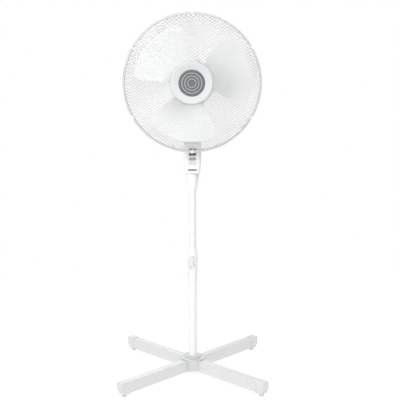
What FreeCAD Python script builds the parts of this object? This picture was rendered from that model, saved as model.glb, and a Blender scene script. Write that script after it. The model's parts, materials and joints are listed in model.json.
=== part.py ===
"""Pedestal fan: cross base, telescopic pole, push-button housing, tilting and oscillating head.

Frame: millimetres, +Z up, origin on the floor on the pole's axis; the fan blows towards -Y.
"""
import FreeCAD, Part
import math
import os
import re

import Sketcher

V = FreeCAD.Vector
UP = V(0, 0, 1)

DIMENSIONS = {
    # floor cross: two channel bars, half-lapped at the pole
    "base_angle": 45.75,
    "bar_reach": 316,
    "bar_wide": 24,
    "bar_wall": 1.5,
    "bar_bottom": 12,
    "bar_top": 50,
    "lap_level": 31,
    "cap_reach": 331,
    "cap_wide": 26.4,
    "cap_inner": 299,
    "cap_top": 51.4,
    "cap_bottom": 10.3,
    "foot_reach": 313,
    "foot_bottom_radius": 7.4,
    "foot_top_radius": 8.8,
    # hub and poles
    "hub_flange_radius": 43,
    "hub_flange_top": 55,
    "hub_disc_radius": 27,
    "hub_disc_top": 60,
    "hub_skirt_radius": 42.2,
    "hub_skirt_bottom": 14,
    "bolt_radius": 4,
    "lower_radius": 15,
    "lower_wall": 1.2,
    "lower_top": 410,
    "upper_radius": 11.5,
    "upper_wall": 1.2,
    "upper_bottom": 255,
    "upper_top": 716,
    "collar_bottom": 387,
    "collar_top": 441,
    "collar_radius": 18.2,
    "collar_top_radius": 13.6,
    "knob_level": 399,
    "knob_bearing": 8,
    "screw_radius": 4,
    # control housing
    "sleeve_bottom": 641,
    "sleeve_top": 697.8,
    "housing_bottom": 698,
    "housing_top": 822,
    "housing_foot_half": 23.3,
    "housing_hip_half": 27.6,
    "housing_hip": 721,
    "housing_shoulder_half": 29.4,
    "housing_shoulder": 796,
    "housing_crown_half": 20,
    "housing_depth": 34,
    "housing_wall": 2.4,
    "button_lowest": 732.6,
    "button_pitch": 15.5,
    "button_long": 23.6,
    "button_tall": 8.6,
    "button_proud": 2.6,
    "button_gap": 0.35,
    # neck and tilt joint
    "tilt_level": 862,
    "ear_inner": 9.3,
    "ear_outer": 17,
    "ear_radius": 12,
    "tongue_half": 9,
    "swivel_flange_top": 902,
    "swivel_flange_radius": 22,
    "swivel_pin_radius": 6,
    "swivel_pin_top": 938,
    "lug_offset": 17,
    # head
    "head_level": 998,
    "shaft_radius": 4,
    "crank_offset": 80,
    "clutch_across": 17,
    "clutch_offset": 97,
    "crank_radius": 10.5,
    "cover_radius": 60,
    "cover_back": 128,
    "cover_wall": 2.2,
    "chin_half": 37,
    "chin_bottom": 906,
    "chin_back": 121,
    "cowl_front": 9,
    "cowl_back": 5,
    # guards and blades
    "wire_radius": 0.65,
    "ring_radius": 1.5,
    "wire_reach": 214.6,
    "wire_start": 60.5,
    "mesh_pitch": 8.1,
    "mesh_slope": 32.3,
    "mesh_tilt": 3.2,
    "dish_corner": 36,
    "front_edge": 88.7,
    "rear_edge": 81.5,
    "front_depth": 59.4,
    "rear_depth": 54.1,
    "rim_radius": 222.5,
    "rim_inner": 215.75,
    "rim_front": 92.2,
    "rim_back": 78,
    "cap_radius": 67.5,
    "badge_radius": 41.5,
    "blade_count": 3,
    "blade_radius": 188,
    "blade_thickness": 2.2,
    "blade_centre_angle": 72.5,
    "blade_spread": 79,
    "hub_radius": 37,
}

DOC = FreeCAD.newDocument("pedestal_fan")
SHEET = DOC.addObject("Spreadsheet::Sheet", "dims")
NODES = []


def fill_sheet():
    for row, (name, value) in enumerate(DIMENSIONS.items(), start=1):
        SHEET.set(f"A{row}", name)
        SHEET.set(f"B{row}", str(value))
        SHEET.setAlias(f"B{row}", name)
    DOC.recompute()


def cells(expression):
    """Turn the words of an expression into references to the sheet."""
    return re.sub(r"[a-z][a-z_]+[a-z]", lambda word: "dims." + word.group(0), str(expression))


def size(expression):
    """The number an expression of sheet words comes to."""
    return float(SHEET.evalExpression(cells(expression)))


def bind(thing, **sizes):
    for name, expression in sizes.items():
        thing.setExpression(name, cells(expression))


def place(thing, x="0", y="0", z="0", turn=None):
    """Put a piece at a bound position, after an optional rotation."""
    thing.Placement = FreeCAD.Placement(V(size(x), size(y), size(z)), turn or FreeCAD.Rotation())
    for axis, expression in (("x", x), ("y", y), ("z", z)):
        if re.search("[a-z]", expression):
            thing.setExpression(f"Placement.Base.{axis}", cells(expression))
    return thing


def node(thing, label):
    """Name a finished piece and put it on the list that is written out."""
    thing.Label = label
    NODES.append(thing)
    return thing


def turned_to(direction, upright=UP):
    """Rotation that takes +Z to the direction and +Y as near to upright as it can."""
    forward = V(direction).normalize()
    side = upright.cross(forward).normalize()
    return FreeCAD.Rotation(side, forward.cross(side), forward, "ZXY")


ALONG_X = FreeCAD.Rotation(V(0, 1, 0), 90)
ALONG_Y = FreeCAD.Rotation(V(1, 0, 0), -90)


def cylinder(radius, height, x="0", y="0", z="0", turn=None):
    piece = DOC.addObject("Part::Cylinder", "round")
    bind(piece, Radius=radius, Height=height)
    return place(piece, x, y, z, turn)


def box(x0, x1, y0, y1, z0, z1):
    """A block between pairs of bound levels along X, Y and Z."""
    piece = DOC.addObject("Part::Box", "block")
    bind(piece, Length=f"({x1}) - ({x0})", Width=f"({y1}) - ({y0})", Height=f"({z1}) - ({z0})")
    return place(piece, x0, y0, z0)


def fuse(*pieces):
    joined = DOC.addObject("Part::MultiFuse", "joined")
    joined.Shapes = list(pieces)
    joined.Refine = True
    return joined


def group(*pieces):
    """Separate identical solids that share one node."""
    grouped = DOC.addObject("Part::Compound", "grouped")
    grouped.Links = list(pieces)
    return grouped


def cut(base, *tools):
    remaining = DOC.addObject("Part::Cut", "cut")
    remaining.Base = base
    remaining.Tool = tools[0] if len(tools) == 1 else fuse(*tools)
    return remaining


def add_sketch(body, plane, points):
    """A closed outline on one of the body's own planes, every corner bound to the sheet."""
    sketch = body.newObject("Sketcher::SketchObject", "outline")
    support = next(f for f in body.Origin.OriginFeatures if f.Role == plane)
    sketch.AttachmentSupport = (support, [""])
    sketch.MapMode = "FlatFace"
    corners = [V(size(across), size(along), 0) for across, along in points]
    count = len(corners)
    for i in range(count):
        sketch.addGeometry(Part.LineSegment(corners[i], corners[(i + 1) % count]), False)
    for i in range(count):
        sketch.addConstraint(Sketcher.Constraint("Coincident", i, 2, (i + 1) % count, 1))
    for i, corner in enumerate(points):
        for kind, axis, expression in (("DistanceX", -2, corner[0]), ("DistanceY", -1, corner[1])):
            if abs(size(expression)) < 1e-9:
                sketch.addConstraint(Sketcher.Constraint("PointOnObject", i, 1, axis))
                continue
            index = sketch.addConstraint(Sketcher.Constraint(kind, -1, 1, i, 1, size(expression)))
            if re.search("[a-z]", expression):
                sketch.setExpression(f"Constraints[{index}]", cells(expression))
    return sketch


def turned(points, plane="XZ_Plane"):
    """A body turned from its half outline, given as (radius, level) corners."""
    body = DOC.addObject("PartDesign::Body", "turned")
    sketch = add_sketch(body, plane, points)
    feature = body.newObject("PartDesign::Revolution", "revolution")
    feature.Profile = sketch
    feature.ReferenceAxis = (sketch, ["V_Axis"])
    feature.Angle = 360
    return body


def head_turned(points):
    """A body turned about the motor's axis; corners are (radius, distance behind the pole's axis)."""
    body = turned(points, "XY_Plane")
    return place(body, z="head_level")


def padded(points, plane, length, both_ways=True, backwards=False):
    """A body padded from an outline, both ways from its plane or to one side."""
    body = DOC.addObject("PartDesign::Body", "padded")
    feature = body.newObject("PartDesign::Pad", "pad")
    feature.Profile = add_sketch(body, plane, points)
    bind(feature, Length=length)
    feature.Midplane = both_ways
    feature.Reversed = backwards
    return body


def pocket(body, points, plane, length, both_ways=False, backwards=False):
    """Cut an outline out of a body, and make sure that it removed something."""
    DOC.recompute()
    before = body.Shape.Volume
    feature = body.newObject("PartDesign::Pocket", "pocket")
    feature.Profile = add_sketch(body, plane, points)
    bind(feature, Length=length)
    feature.Midplane = both_ways
    feature.Reversed = backwards
    DOC.recompute()
    if body.Shape.Volume > before - 1:
        raise RuntimeError("a pocket in " + body.Name + " removed nothing")
    return body


def round_edges(body, radius, wanted):
    """Fillet the body's edges whose box passes the given test."""
    DOC.recompute()
    tip = body.Tip
    names = [f"Edge{i + 1}" for i, edge in enumerate(tip.Shape.Edges) if wanted(edge.BoundBox)]
    feature = body.newObject("PartDesign::Fillet", "rounding")
    feature.Base = (tip, names)
    bind(feature, Radius=radius)
    DOC.recompute()
    return body


def rectangle(x0, x1, y0, y1):
    return [(x0, y0), (x1, y0), (x1, y1), (x0, y1)]


def mirrored(points):
    """Close a right-hand outline with its mirror image across the vertical axis."""
    return points + [(f"-({across})", along) for across, along in reversed(points)]


def tube(outer, inner, bottom, top):
    return turned([(inner, bottom), (outer, bottom), (outer, top), (inner, top)])


def solid_node(label, shape, x="0", y="0", z="0", turn=None):
    """A piece whose shape is worked out below from the sheet's sizes."""
    feature = DOC.addObject("Part::Feature", label)
    feature.Shape = shape
    place(feature, x, y, z, turn)
    return feature


# ---------------------------------------------------------------- base


def cross_bar(label, turn, lap):
    """One downward-open channel bar with its half of the lap joint."""
    half, wall = "bar_wide / 2", "bar_wall"
    section = mirrored([(half, "bar_top"), (half, "bar_bottom"), (f"{half} - {wall}", "bar_bottom"),
                        (f"{half} - {wall}", f"bar_top - {wall}")])
    body = padded(section, "YZ_Plane", "2 * bar_reach")
    pocket(body, rectangle(f"-{half} - 0.3", f"{half} + 0.3", *lap), "XZ_Plane", "bar_wide + 2", True)
    bar = cut(body, cylinder("bolt_radius + 0.3", "20", z="bar_top - 10"))
    bar.Placement = FreeCAD.Placement(V(), FreeCAD.Rotation(UP, size(turn)))
    return node(bar, label)


def end_cap(label, turn):
    """Moulded sleeve over a bar's end, sloped in below towards its foot."""
    outline = [("cap_inner", "cap_bottom"), ("cap_inner", "cap_top"), ("cap_reach - 2.5", "cap_top"),
               ("cap_reach", "cap_top - 2.5"), ("cap_reach", "27"), ("foot_reach + 9.5", "cap_bottom")]
    body = padded(outline, "XZ_Plane", "cap_wide")
    level = size("cap_top") - 0.01
    round_edges(body, "1.6", lambda b: b.ZMin > level and b.XLength > 20)
    room = box("cap_inner - 1", "bar_reach + 0.3", "-bar_wide / 2 - 0.15", "bar_wide / 2 + 0.15",
               "bar_bottom - 0.15", "bar_top + 0.15")
    cap = cut(body, room, cylinder("4.1", "12", x="foot_reach", z="9"))
    cap.Placement = FreeCAD.Placement(V(), FreeCAD.Rotation(UP, size(turn)))
    return node(cap, label)


def foot_pads(turns):
    """Four rubber feet, each with a stem pushed up into its cap."""
    pads = []
    for turn in turns:
        pad = turned([("0", "0"), ("foot_bottom_radius - 0.8", "0"), ("foot_bottom_radius", "0.8"),
                      ("foot_top_radius", "cap_bottom - 0.1"), ("4", "cap_bottom - 0.1"),
                      ("4", "20"), ("0", "20")])
        reach = size("foot_reach")
        angle = math.radians(size(turn))
        place(pad, f"foot_reach * {math.cos(angle):.6f}", f"foot_reach * {math.sin(angle):.6f}", "0")
        pads.append(pad)
    return node(group(*pads), "foot_pads")


def base_hub():
    """Stepped cover over the crossing, with a skirt that fills the corners between the bars."""
    flange, skirt, disc, bore = "hub_flange_radius", "hub_skirt_radius", "hub_disc_radius", "lower_radius + 0.2"
    bottom = "bar_top + 0.3"
    body = turned([(bore, bottom), (f"{skirt} - 2.5", bottom), (f"{skirt} - 2.5", "hub_skirt_bottom"),
                   (skirt, "hub_skirt_bottom"), (skirt, bottom), (f"{flange} - 0.4", bottom),
                   (flange, "bar_top + 0.8"), (flange, "hub_flange_top - 1.2"),
                   (f"{flange} - 1.2", "hub_flange_top"), (disc, "hub_flange_top"), (disc, "hub_disc_top - 1.4"),
                   (f"{disc} - 1.4", "hub_disc_top"), (bore, "hub_disc_top")])
    side = "bar_wide / 2 + 0.4"
    slots = [box("-60", "60", f"-({side})", side, "5", "bar_top + 0.25"),
             box(f"-({side})", side, "-60", "60", "5", "bar_top + 0.25")]
    hub = cut(body, *slots)
    hub.Placement = FreeCAD.Placement(V(), FreeCAD.Rotation(UP, size("base_angle")))
    return node(hub, "base_hub")


def hub_bolt():
    head = DOC.addObject("Part::Prism", "hexagon")
    head.Polygon = 6
    bind(head, Circumradius="bolt_radius * 1.85", Height="5.3")
    place(head, z="bar_top - bar_wall - 5.5")
    shank = cylinder("bolt_radius", "28", z="bar_top - bar_wall - 0.3")
    return node(fuse(head, shank), "hub_bolt")


def knob_direction():
    bearing = math.radians(size("knob_bearing"))
    return V(-math.sin(bearing), -math.cos(bearing), 0)


def knob_hole(radius):
    """Clearance for the height screw, from the pole's axis outwards."""
    return cylinder(radius, "40", z="knob_level", turn=turned_to(knob_direction()))


def pole_parts():
    tubular = tube("lower_radius", "lower_radius - lower_wall", "bar_top + 0.2", "lower_top")
    node(cut(tubular, knob_hole("screw_radius + 0.3")), "lower_tube")
    inner = "lower_radius - lower_wall - 0.05"
    node(tube(inner, "bolt_radius + 0.05", "bar_top + 0.2", "bar_top + 30"), "tube_plug")
    bush = tube(inner, "upper_radius + 0.08", "lower_top - 38", "lower_top - 0.2")
    node(cut(bush, knob_hole("screw_radius + 0.3")), "guide_bush")


def height_collar():
    """Tapered collar on top of the lower tube, with a boss for the height screw."""
    bore = "lower_radius + 0.05"
    body = turned([("upper_radius + 0.2", "lower_top + 0.2"), (bore, "lower_top + 0.2"), (bore, "collar_bottom"),
                   ("collar_radius - 0.6", "collar_bottom"), ("collar_radius", "collar_bottom + 0.6"),
                   ("collar_radius", "collar_bottom + 17"), ("collar_top_radius", "collar_top - 1"),
                   ("collar_top_radius - 1", "collar_top"), ("upper_radius + 0.2", "collar_top")])
    boss = cylinder("8", "7.5", turn=turned_to(knob_direction()))
    direction = knob_direction() * 16
    boss.Placement.Base = direction + V(0, 0, size("knob_level"))
    return node(cut(fuse(body, boss), knob_hole("screw_radius + 0.1")), "height_collar")


def wing_outline(tall, wide):
    """A wing grip: waisted at its middle, broad at both ends."""
    return [(f"{wide} / 2", f"-{tall} / 2 + 4"), (f"{wide} / 2 - 3.5", f"-{tall} / 2"),
            (f"-{wide} / 2 + 3.5", f"-{tall} / 2"), (f"-{wide} / 2", f"-{tall} / 2 + 4"),
            (f"-{wide} / 2 + 1.5", "0"), (f"-{wide} / 2", f"{tall} / 2 - 4"),
            (f"-{wide} / 2 + 3.5", f"{tall} / 2"), (f"{wide} / 2 - 3.5", f"{tall} / 2"),
            (f"{wide} / 2", f"{tall} / 2 - 4"), (f"{wide} / 2 - 1.5", "0")]


def height_knob():
    """Wing-shaped thumb knob and the screw that bears on the upper tube."""
    turn = turned_to(knob_direction())
    body = padded(wing_outline("35", "18"), "XY_Plane", "11", both_ways=False)
    round_edges(body, "1.6", lambda b: b.ZMin > 10.9)
    knob = cut(body, cylinder("screw_radius", "7.5", z="-1"))
    knob.Placement = FreeCAD.Placement(knob_direction() * 24 + V(0, 0, size("knob_level")), turn)
    node(knob, "height_knob")
    screw = cylinder("screw_radius", "18.5", z="knob_level", turn=turn)
    screw.Placement.Base = knob_direction() * 11.8 + V(0, 0, size("knob_level"))
    node(screw, "height_screw")


# ---------------------------------------------------------------- column


def upper_pole():
    inner = "upper_radius - upper_wall"
    node(tube("upper_radius", inner, "upper_bottom", "upper_top"), "upper_tube")
    glide = "lower_radius - lower_wall - 0.08"
    node(turned([("0", "upper_bottom - 6"), (f"{glide} - 0.8", "upper_bottom - 6"), (glide, "upper_bottom - 5"),
                 (glide, "upper_bottom - 0.1"), (f"{inner} - 0.05", "upper_bottom - 0.1"),
                 (f"{inner} - 0.05", "upper_bottom + 20"), ("0", "upper_bottom + 20")]), "slide_plug")
    bore = "upper_radius + 0.05"
    node(turned([(bore, "sleeve_bottom"), ("13.4", "sleeve_bottom"), ("14.8", "sleeve_bottom + 1.4"),
                 ("16.2", "sleeve_bottom + 12"), ("17.4", "sleeve_bottom + 20"), ("21", "sleeve_bottom + 42"),
                 ("22.9", "sleeve_top"), (bore, "sleeve_top")]), "pole_sleeve")


def housing_outline(inset):
    """Half front view of the control housing, drawn in by the inset all round."""
    return mirrored([(f"housing_foot_half - {inset}", f"housing_bottom + {inset}"),
                     (f"housing_hip_half - {inset}", f"housing_hip + {inset} * 0.1"),
                     (f"housing_shoulder_half - {inset}", f"housing_shoulder - {inset} * 0.2"),
                     (f"housing_crown_half - {inset} * 0.6", f"housing_top - {inset}")])


def housing_shell(front):
    """One half shell of the control housing, hollow from the parting plane."""
    body = padded(housing_outline("0"), "XZ_Plane", "housing_depth", both_ways=False, backwards=not front)
    shoulder, crown = size("housing_shoulder"), size("housing_top")
    round_edges(body, "9", lambda b: b.YLength > 20 and b.ZMin > shoulder - 1 and b.ZMax < crown + 1)
    depth = size("housing_depth") - 0.01
    round_edges(body, "7.5", lambda b: min(abs(b.YMin), abs(b.YMax)) > depth and b.YLength < 0.1)
    pocket(body, housing_outline("housing_wall"), "XZ_Plane", "housing_depth - housing_wall",
           backwards=front)
    return body


def stadium(long, tall, depth, z):
    """A bar with round ends, lying along X, that reaches forward from the front wall's middle."""
    reach = f"({long} - {tall}) / 2"
    y = "-housing_depth - button_proud"
    middle = box(f"-{reach}", reach, y, f"{y} + {depth}", f"{z} - ({tall}) / 2", f"{z} + ({tall}) / 2")
    ends = [cylinder(f"({tall}) / 2", depth, x=f"{side}{reach}", y=y, z=z, turn=ALONG_Y) for side in ("-", "")]
    return fuse(middle, *ends)


def button_levels():
    return [f"button_lowest + {i} * button_pitch" for i in range(4)]


SCREW_PLACES = [("-16", "housing_bottom + 10"), ("16", "housing_bottom + 10"),
                ("-16", "housing_top - 14"), ("16", "housing_top - 14")]


def control_housing():
    pole_hole = cylinder("upper_radius + 0.2", "10", z="housing_bottom - 5")
    neck_hole = cylinder("13", "10", z="housing_top - 6")
    inner_face = "-housing_depth + housing_wall - 0.5"
    bosses = [cylinder("3.6", "housing_depth - housing_wall + 0.5", x=x, y=inner_face, z=z, turn=ALONG_Y)
              for x, z in SCREW_PLACES]
    pilot = [cylinder("1.55", "22", x=x, y="-21.5", z=z, turn=ALONG_Y) for x, z in SCREW_PLACES]
    slots = [stadium("button_long + 2 * button_gap", "(button_tall + 2 * button_gap)", "12", z)
             for z in button_levels()]
    node(cut(fuse(housing_shell(True), *bosses), pole_hole, neck_hole, *pilot, *slots), "control_front")

    pole_hole = cylinder("upper_radius + 0.2", "10", z="housing_bottom - 5")
    neck_hole = cylinder("13", "10", z="housing_top - 6")
    screw_holes = [cylinder("1.7", "12", x=x, y="housing_depth - 10", z=z, turn=ALONG_Y) for x, z in SCREW_PLACES]
    gland_hole = cylinder("6.1", "12", y="housing_depth - 8", z="housing_bottom + 28", turn=ALONG_Y)
    node(cut(housing_shell(False), pole_hole, neck_hole, gland_hole, *screw_holes), "control_back")

    screws = [fuse(cylinder("3.4", "2", x=x, y="housing_depth + 0.05", z=z, turn=ALONG_Y),
                   cylinder("1.5", "housing_depth + 18", x=x, y="-17.9", z=z, turn=ALONG_Y))
              for x, z in SCREW_PLACES]
    node(group(*screws), "control_screws")


def housing_contents():
    stem_slots = [box("-5", "5", "-26", "-13", f"{z} - 2.6", f"{z} + 2.6") for z in button_levels()]
    block = box("-13.5", "13.5", "-25.4", "-8", "button_lowest - 8", "button_lowest + 3 * button_pitch + 8")
    node(cut(block, *stem_slots), "switch_block")
    node(cylinder("11", "38", y="14", z="housing_bottom + 40"), "run_capacitor")
    gland = turned([("3.2", "0"), ("6", "0"), ("6", "8.03"), ("8.4", "8.05"), ("8.4", "10"),
                    ("6.4", "14.5"), ("3.2", "14.5")])
    node(place(gland, y="housing_depth - 8", z="housing_bottom + 28", turn=ALONG_Y), "cable_gland")


def buttons():
    """Four push buttons: a round-ended cap and the stem that works the switch block."""
    labels = ["button_off", "button_low", "button_medium", "button_high"]
    for label, z in zip(labels, button_levels()):
        face = stadium("button_long", "button_tall", "button_proud + 4.6", z)
        stem = box("-4.2", "4.2", "-housing_depth + 4", "-19", f"{z} - 1.8", f"{z} + 1.8")
        node(fuse(face, stem), label)


def neck_yoke():
    """Plug, collar and two ears that carry the tilt bolt."""
    base = turned([("0", "housing_top - 12"), ("12.8", "housing_top - 12"), ("12.8", "housing_top + 0.2"),
                   ("18.5", "housing_top + 0.2"), ("19.5", "housing_top + 1.2"), ("19.5", "housing_top + 6"),
                   ("17.5", "housing_top + 16"), ("0", "housing_top + 16")])
    ears = []
    for x0, x1 in (("ear_inner", "ear_outer"), ("-ear_outer", "-ear_inner")):
        ears.append(box(x0, x1, "-ear_radius", "ear_radius", "housing_top + 8", "tilt_level"))
        ears.append(cylinder("ear_radius", "ear_outer - ear_inner", x=x0, z="tilt_level", turn=ALONG_X))
    gap = box("-ear_inner", "ear_inner", "-30", "30", "tilt_level - ear_radius - 4", "tilt_level + 20")
    hole = cylinder("bolt_radius + 0.1", "60", x="-30", z="tilt_level", turn=ALONG_X)
    node(cut(fuse(base, *ears), gap, hole), "neck_yoke")


def tilt_hardware():
    nut = DOC.addObject("Part::Prism", "hexagon")
    nut.Polygon = 6
    bind(nut, Circumradius="bolt_radius * 1.85", Height="5")
    place(nut, x="-ear_outer - 5.3", z="tilt_level", turn=ALONG_X)
    hole = cylinder("bolt_radius + 0.05", "12", x="-ear_outer - 8", z="tilt_level", turn=ALONG_X)
    node(cut(nut, hole), "tilt_nut")
    node(cylinder("bolt_radius", "2 * ear_outer + 16", x="-ear_outer - 7", z="tilt_level", turn=ALONG_X), "tilt_bolt")
    body = padded(wing_outline("38", "17"), "XY_Plane", "13", both_ways=False)
    round_edges(body, "2", lambda b: b.ZMin > 12.9)
    collar = cylinder("9", "3", z="-2.4")
    grip = cut(fuse(body, collar), cylinder("bolt_radius", "12", z="-3.4"))
    knob = place(grip, x="ear_outer + 2.8", z="tilt_level", turn=turned_to(V(1, 0, 0)))
    node(knob, "tilt_knob")


def tilt_pivot():
    """Tongue between the ears, flange, swivel pin and the lug for the link arm."""
    tongue = cylinder("ear_radius - 1", "2 * tongue_half", x="-tongue_half", z="tilt_level", turn=ALONG_X)
    post = box("-tongue_half", "tongue_half", "-ear_radius + 1", "ear_radius - 1", "tilt_level",
               "swivel_flange_top - 5")
    flange = cylinder("swivel_flange_radius", "6", z="swivel_flange_top - 6")
    pin = cylinder("swivel_pin_radius", "swivel_pin_top - swivel_flange_top + 1", z="swivel_flange_top - 1")
    lug = cylinder("3", "7", y="lug_offset", z="swivel_flange_top - 1")
    hole = cylinder("bolt_radius + 0.1", "40", x="-20", z="tilt_level", turn=ALONG_X)
    node(cut(fuse(tongue, post, flange, pin, lug), hole), "tilt_pivot")


# ---------------------------------------------------------------- oscillation


def toothed_disc(teeth, tip, depth, thickness):
    """A straight-toothed wheel about Z, with flat-topped teeth."""
    corners = []
    for i in range(teeth):
        for share, radius in ((0.0, tip - depth), (0.3, tip - depth), (0.45, tip), (0.85, tip)):
            angle = 2 * math.pi * (i + share) / teeth
            corners.append(V(radius * math.cos(angle), radius * math.sin(angle), 0))
    outline = Part.makePolygon(corners + corners[:1])
    return Part.Face(outline).extrude(V(0, 0, thickness))


def clutch_parts():
    """Worm wheel and pinion on a vertical shaft that lifts with its pull knob."""
    tip = size("clutch_across") - size("shaft_radius") - 1.3
    wheel = toothed_disc(32, tip, 1.6, 10).translate(V(0, 0, 49))
    pinion = toothed_disc(8, 4.3, 0.7, 7)
    sleeve = Part.makeCylinder(3.6 + 0.9, 46, V(0, 0, 7))
    bore = Part.makeCylinder(3.08, 80, V(0, 0, -10))
    gear = wheel.fuse([pinion, sleeve]).cut(bore).removeSplitter()
    place_at = dict(x="clutch_across", y="clutch_offset")
    node(solid_node("clutch_gear", gear, z="head_level - 54", **place_at), "clutch_gear")
    node(cylinder("3", "130", z="head_level - 62", **place_at), "clutch_shaft")
    knob = turned([("0", "6"), ("3", "6"), ("3", "0"), ("6.4", "0"), ("7.6", "1.2"), ("7.6", "11"),
                   ("6.2", "13.5"), ("0", "14.2")])
    node(place(knob, z="head_level + 62.5", **place_at), "oscillation_knob")


def crank_gear():
    """Slow gear inside the case, its shaft, and the crank below the case that swings the head."""
    apart = math.hypot(size("clutch_across"), size("clutch_offset - crank_offset"))
    gear = toothed_disc(44, apart - 4.6, 1.4, 6)
    shaft = Part.makeCylinder(4, 35, V(0, 0, -34))
    disc = Part.makeCylinder(15, 4.6, V(0, 0, -34))
    pin = Part.makeCylinder(3, 4.5, V(size("crank_radius"), 0, -37.8))
    shape = gear.fuse([shaft, disc, pin]).removeSplitter()
    node(solid_node("crank_gear", shape, y="crank_offset", z="head_level - 53"), "crank_gear")


def link_arm():
    """Flat arm from the neck's lug to the crank."""
    y0, y1 = "lug_offset", "crank_offset"
    z = "swivel_flange_top + 1"
    bar = box("-4.5", "4.5", y0, y1, z, f"{z} + 3.2")
    eyes = [cylinder("6.3", "3.2", y=y, z=z) for y in (y0, y1)]
    holes = [cylinder("3.1", "6", y=y, z=f"{z} - 1") for y in (y0, y1)]
    node(cut(fuse(bar, *eyes), *holes), "link_arm")


def gearbox_case():
    """Gear case behind the motor, its plate under the motor and the swivel sleeve."""
    case = box("-23", "32", "58", "113", "head_level - 66", "head_level + 24")
    inside = box("-20.8", "29.8", "60.2", "110.8", "head_level - 63.8", "head_level + 21.8")
    plate = box("-16", "16", "-12", "59", "head_level - 66", "head_level - 60")
    sleeve = cylinder("9.5", "head_level - 60 - swivel_flange_top - 0.6", z="swivel_flange_top + 0.6")
    swivel = cylinder("swivel_pin_radius + 0.08", "60", z="swivel_flange_top - 5")
    shaft_hole = cylinder("6", "10", y="54", z="head_level", turn=ALONG_Y)
    clutch_hole = cylinder("3.1", "10", x="clutch_across", y="clutch_offset", z="head_level + 18")
    crank_hole = cylinder("4.1", "10", y="crank_offset", z="head_level - 70")
    holes = [inside, swivel, shaft_hole, clutch_hole, crank_hole]
    node(cut(fuse(case, plate, sleeve), *holes), "gearbox_case")


# ---------------------------------------------------------------- motor


def motor_parts():
    bush = "shaft_radius + 0.05"
    node(head_turned([("8", "-4.5"), ("52", "-4.5"), ("52", "14"), ("50", "14"), ("50", "-2.5"), ("8", "-2.5")]),
         "motor_front_bracket")
    node(head_turned([("8", "54"), ("50", "54"), ("50", "38"), ("52", "38"), ("52", "56"), ("8", "56")]),
         "motor_rear_bracket")
    node(head_turned([("24.4", "11.2"), ("49.8", "11.2"), ("49.8", "41"), ("24.4", "41")]), "stator_core")
    coils = [head_turned([("26", f"{y}"), ("37", f"{y}"), ("40", f"{y} + 3"), ("40", f"{y} + 7"),
                          ("37", f"{y} + 10"), ("26", f"{y} + 10")]) for y in ("0.8", "41.2")]
    node(group(*coils), "stator_coils")
    bushes = [head_turned([(bush, f"{y}"), ("7.9", f"{y}"), ("7.9", f"{y} + 9"), (bush, f"{y} + 9")])
              for y in ("-12", "48.8")]
    node(group(*bushes), "shaft_bushes")
    node(head_turned([("shaft_radius", "11.2"), ("24", "11.2"), ("24", "41"), ("shaft_radius", "41")]), "rotor_core")
    node(motor_shaft(), "motor_shaft")


def motor_shaft():
    """Through shaft: blade seat in front, single worm at its rear end."""
    outline = [("0", "-117"), ("shaft_radius - 0.6", "-117"), ("shaft_radius", "-116.4"), ("shaft_radius", "87")]
    threads, pitch = 8, 2.5
    for i in range(threads):
        start = 87 + i * pitch
        outline += [("shaft_radius - 0.6", f"{start + 0.5}"), ("shaft_radius + 1", f"{start + 1.1}"),
                    ("shaft_radius + 1", f"{start + 1.9}"), ("shaft_radius - 0.6", f"{start + 2.5}")]
    outline += [("shaft_radius - 0.6", "109"), ("0", "109")]
    return head_turned(outline)


def cover_outline(inset):
    """Half outline of the motor cover's dome, drawn in by the inset."""
    radius, back = f"cover_radius - {inset}", f"cover_back - {inset}"
    return [("0", "-4.7"), (radius, "-4.7"), (radius, "62"), (f"{radius} - 3", "88"), (f"{radius} - 9", "105"),
            (f"{radius} - 18", "117"), (f"{radius} - 30", f"{back} - 2"), (f"{radius} - 40", back), ("0", back)]


def chin(inset):
    """The lower part of the cover, with round corners, that hides the oscillating gear."""
    half = f"chin_half - {inset}"
    back = f"chin_back - {inset}"
    outline = rectangle(f"-({half})", half, "-4.7", back)
    body = padded(outline, "XY_Plane", "head_level - chin_bottom + 2", both_ways=False)
    place(body, z="chin_bottom" if inset == "0" else "chin_bottom - 2")
    limit = size(back) - 1
    return round_edges(body, f"12 - {inset}", lambda b: b.ZLength > 50 and b.YMin > limit)


def motor_cover():
    """Rear shell round the motor and gear case, with cooling slots and a hole for the pull knob."""
    outer = fuse(head_turned(cover_outline("0")), chin("0"))
    inner = fuse(head_turned(cover_outline("cover_wall")), chin("cover_wall"))
    knob_hole_above = cylinder("4.6", "60", x="clutch_across", y="clutch_offset", z="head_level + 30")
    slots = []
    for i in range(12):
        turn = FreeCAD.Rotation(V(0, 1, 0), 30 * i + 15)
        slot = box("30", "48", "cover_back - 26", "cover_back + 4", "-1.5", "1.5")
        slot.Placement = FreeCAD.Placement(V(0, 0, size("head_level")), turn).multiply(slot.Placement)
        if abs(turn.multVec(V(1, 0, 0)).z + 1) > 0.3:
            slots.append(slot)
    node(cut(outer, inner, knob_hole_above, *slots), "motor_cover")


def motor_cowl():
    """Front plate of the motor, with the threaded boss that the rear guard hangs on."""
    plate = cylinder("cover_radius", "cowl_front - cowl_back", y="-cowl_front", z="head_level", turn=ALONG_Y)
    apron = box("-chin_half", "chin_half", "-cowl_front", "-cowl_back", "chin_bottom", "head_level")
    seat = cylinder("31", "22", y="-30.4", z="head_level", turn=ALONG_Y)
    boss = cylinder("20", "20", y="-40", z="head_level", turn=ALONG_Y)
    bore = cylinder("11", "60", y="-45", z="head_level", turn=ALONG_Y)
    sleeve_room = box("-17", "17", "-14", "0", "chin_bottom - 1", "head_level - 54")
    node(cut(fuse(plate, apron, seat, boss), bore, sleeve_room), "motor_cowl")


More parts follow.
